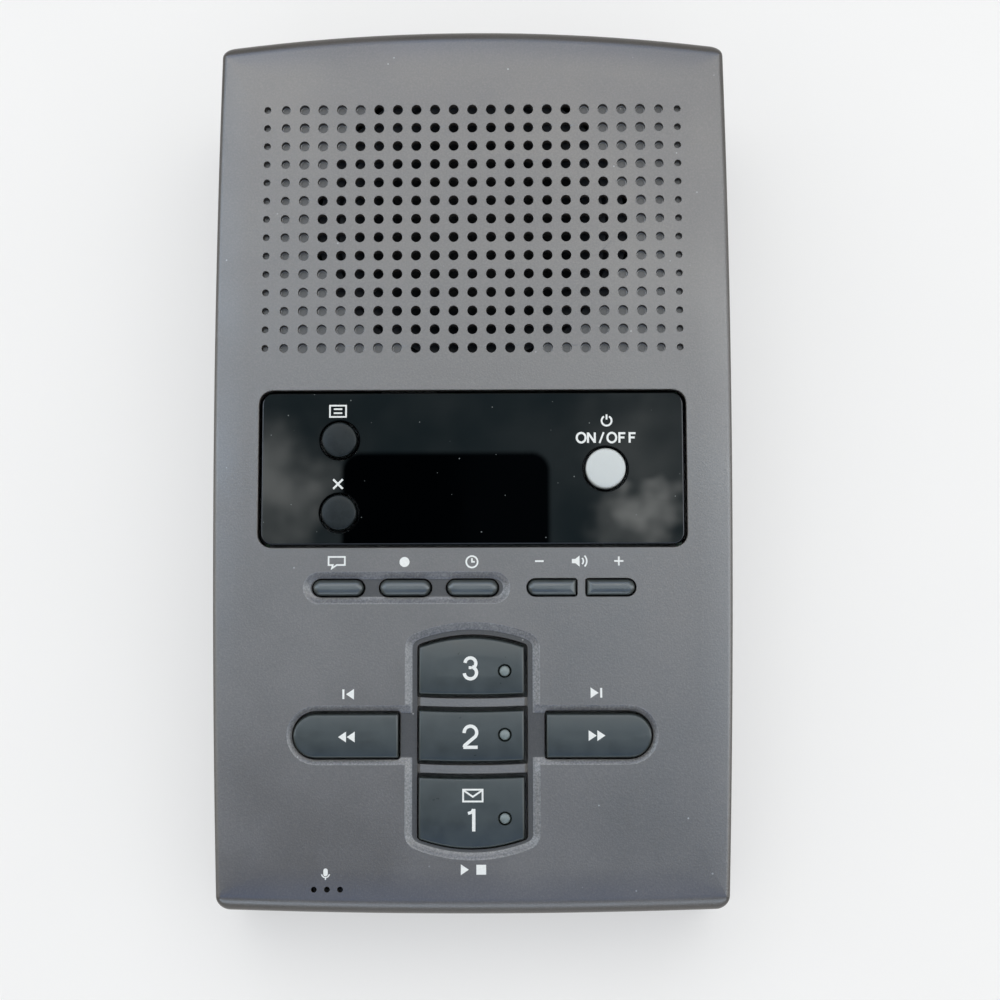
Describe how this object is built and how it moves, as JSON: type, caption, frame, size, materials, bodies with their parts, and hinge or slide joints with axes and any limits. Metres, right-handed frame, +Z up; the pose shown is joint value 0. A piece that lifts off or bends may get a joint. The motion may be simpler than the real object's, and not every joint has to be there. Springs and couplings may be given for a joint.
{
  "type": "answering machine",
  "caption": "Wedge-shaped digital telephone answering machine with a perforated speaker grille, smoked display lens and sprung keys.",
  "frame": {"origin": "middle of the plan, on the table under the rubber feet", "axes": "+Z up, +Y to the rear with the sockets, +X to the user's right"},
  "size_m": [0.1096, 0.1876, 0.0438],
  "materials": {
    "battery_sleeve": "plain battery jacket",
    "black_key_plastic": "black ABS keys",
    "board_laminate": "green glass-epoxy board",
    "case_abs": "grey ABS, fine spark-eroded texture",
    "chip_epoxy": "black moulded epoxy",
    "contact_metal": "gold-plated contact wires",
    "cover_abs": "grey ABS, fine spark-eroded texture",
    "display_block": "black LED display block",
    "ferrite": "ferrite magnet",
    "foot_rubber": "black rubber",
    "key_plastic": "dark blue-green grey ABS keys",
    "lamp_lens": "unlit grey-green lamp lens",
    "metal_can": "tinned steel can",
    "paper_cone": "black doped paper cone",
    "plated_steel": "zinc-plated steel screws",
    "relay_plastic": "amber relay case",
    "ribbon_vinyl": "grey vinyl ribbon",
    "silicone": "grey silicone rubber",
    "smoked_lens": "polished smoked acrylic",
    "socket_plastic": "black socket mouldings",
    "speaker_steel": "black painted pressed steel",
    "white_key_plastic": "off-white ABS key"
  },
  "bodies": {
    "housing": {"backup_battery": "battery_sleeve", "battery_snap": "socket_plastic", "board_ribbon": "ribbon_vinyl", "bottom_case": "case_abs", "capacitors": "metal_can", "case_screws": "plated_steel", "counter_display": "display_block", "crystal": "metal_can", "display_lens": "smoked_lens", "jack_contacts": "contact_metal", "key_board": "board_laminate", "key_board_screws": "plated_steel", "line_board": "board_laminate", "line_board_screws": "plated_steel", "line_jack": "socket_plastic", "line_relay": "relay_plastic", "line_transformer": "chip_epoxy", "mailbox_1_lamp": "lamp_lens", "mailbox_2_lamp": "lamp_lens", "mailbox_3_lamp": "lamp_lens", "microphone": "metal_can", "microphone_boot": "foot_rubber", "phone_jack": "socket_plastic", "power_jack": "socket_plastic", "power_pin": "contact_metal", "processor_chip": "chip_epoxy", "rubber_foot_front_left": "foot_rubber", "rubber_foot_front_right": "foot_rubber", "rubber_foot_rear_left": "foot_rubber", "rubber_foot_rear_right": "foot_rubber", "rubber_keypad": "silicone", "speaker_basket": "speaker_steel", "speaker_cone": "paper_cone", "speaker_magnet": "ferrite", "speaker_screws": "plated_steel", "top_cover": "cover_abs", "voice_memory_chip": "chip_epoxy", "voltage_regulator": "chip_epoxy"},
    "answer_key_body": {"answer_key": "white_key_plastic"},
    "erase_key_body": {"erase_key": "black_key_plastic"},
    "greeting_key_body": {"greeting_key": "key_plastic"},
    "mailbox_1_key_body": {"mailbox_1_key": "key_plastic"},
    "mailbox_2_key_body": {"mailbox_2_key": "key_plastic"},
    "mailbox_3_key_body": {"mailbox_3_key": "key_plastic"},
    "memo_key_body": {"memo_key": "black_key_plastic"},
    "repeat_key_body": {"repeat_key": "key_plastic"},
    "set_key_body": {"set_key": "key_plastic"},
    "skip_key_body": {"skip_key": "key_plastic"},
    "time_key_body": {"time_key": "key_plastic"},
    "volume_down_key_body": {"volume_down_key": "key_plastic"},
    "volume_up_key_body": {"volume_up_key": "key_plastic"},
    "battery_door_body": {"battery_door": "case_abs"}
  },
  "joints": [
    {"name": "answer_press", "type": "slide", "parent": "housing", "child": "answer_key_body", "axis": [0, 0.0698, -0.9976], "range_m": [0, 0.0008], "stiffness_N_per_m": 250, "springref_m": -0.0012},
    {"name": "erase_press", "type": "slide", "parent": "housing", "child": "erase_key_body", "axis": [0, 0.0698, -0.9976], "range_m": [0, 0.0008], "stiffness_N_per_m": 250, "springref_m": -0.0012},
    {"name": "greeting_press", "type": "slide", "parent": "housing", "child": "greeting_key_body", "axis": [0, 0.0698, -0.9976], "range_m": [0, 0.0008], "stiffness_N_per_m": 250, "springref_m": -0.0012},
    {"name": "mailbox_1_press", "type": "slide", "parent": "housing", "child": "mailbox_1_key_body", "axis": [0, 0.0698, -0.9976], "range_m": [0, 0.0008], "stiffness_N_per_m": 250, "springref_m": -0.0012},
    {"name": "mailbox_2_press", "type": "slide", "parent": "housing", "child": "mailbox_2_key_body", "axis": [0, 0.0698, -0.9976], "range_m": [0, 0.0008], "stiffness_N_per_m": 250, "springref_m": -0.0012},
    {"name": "mailbox_3_press", "type": "slide", "parent": "housing", "child": "mailbox_3_key_body", "axis": [0, 0.0698, -0.9976], "range_m": [0, 0.0008], "stiffness_N_per_m": 250, "springref_m": -0.0012},
    {"name": "memo_press", "type": "slide", "parent": "housing", "child": "memo_key_body", "axis": [0, 0.0698, -0.9976], "range_m": [0, 0.0008], "stiffness_N_per_m": 250, "springref_m": -0.0012},
    {"name": "repeat_press", "type": "slide", "parent": "housing", "child": "repeat_key_body", "axis": [0, 0.0698, -0.9976], "range_m": [0, 0.0008], "stiffness_N_per_m": 250, "springref_m": -0.0012},
    {"name": "set_press", "type": "slide", "parent": "housing", "child": "set_key_body", "axis": [0, 0.0698, -0.9976], "range_m": [0, 0.0008], "stiffness_N_per_m": 250, "springref_m": -0.0012},
    {"name": "skip_press", "type": "slide", "parent": "housing", "child": "skip_key_body", "axis": [0, 0.0698, -0.9976], "range_m": [0, 0.0008], "stiffness_N_per_m": 250, "springref_m": -0.0012},
    {"name": "time_press", "type": "slide", "parent": "housing", "child": "time_key_body", "axis": [0, 0.0698, -0.9976], "range_m": [0, 0.0008], "stiffness_N_per_m": 250, "springref_m": -0.0012},
    {"name": "volume_down_press", "type": "slide", "parent": "housing", "child": "volume_down_key_body", "axis": [0, 0.0698, -0.9976], "range_m": [0, 0.0008], "stiffness_N_per_m": 250, "springref_m": -0.0012},
    {"name": "volume_up_press", "type": "slide", "parent": "housing", "child": "volume_up_key_body", "axis": [0, 0.0698, -0.9976], "range_m": [0, 0.0008], "stiffness_N_per_m": 250, "springref_m": -0.0012},
    {"name": "battery_door_slide", "type": "slide", "parent": "housing", "child": "battery_door_body", "axis": [1, 0, 0], "range_m": [0, 0.055]}
  ]
}
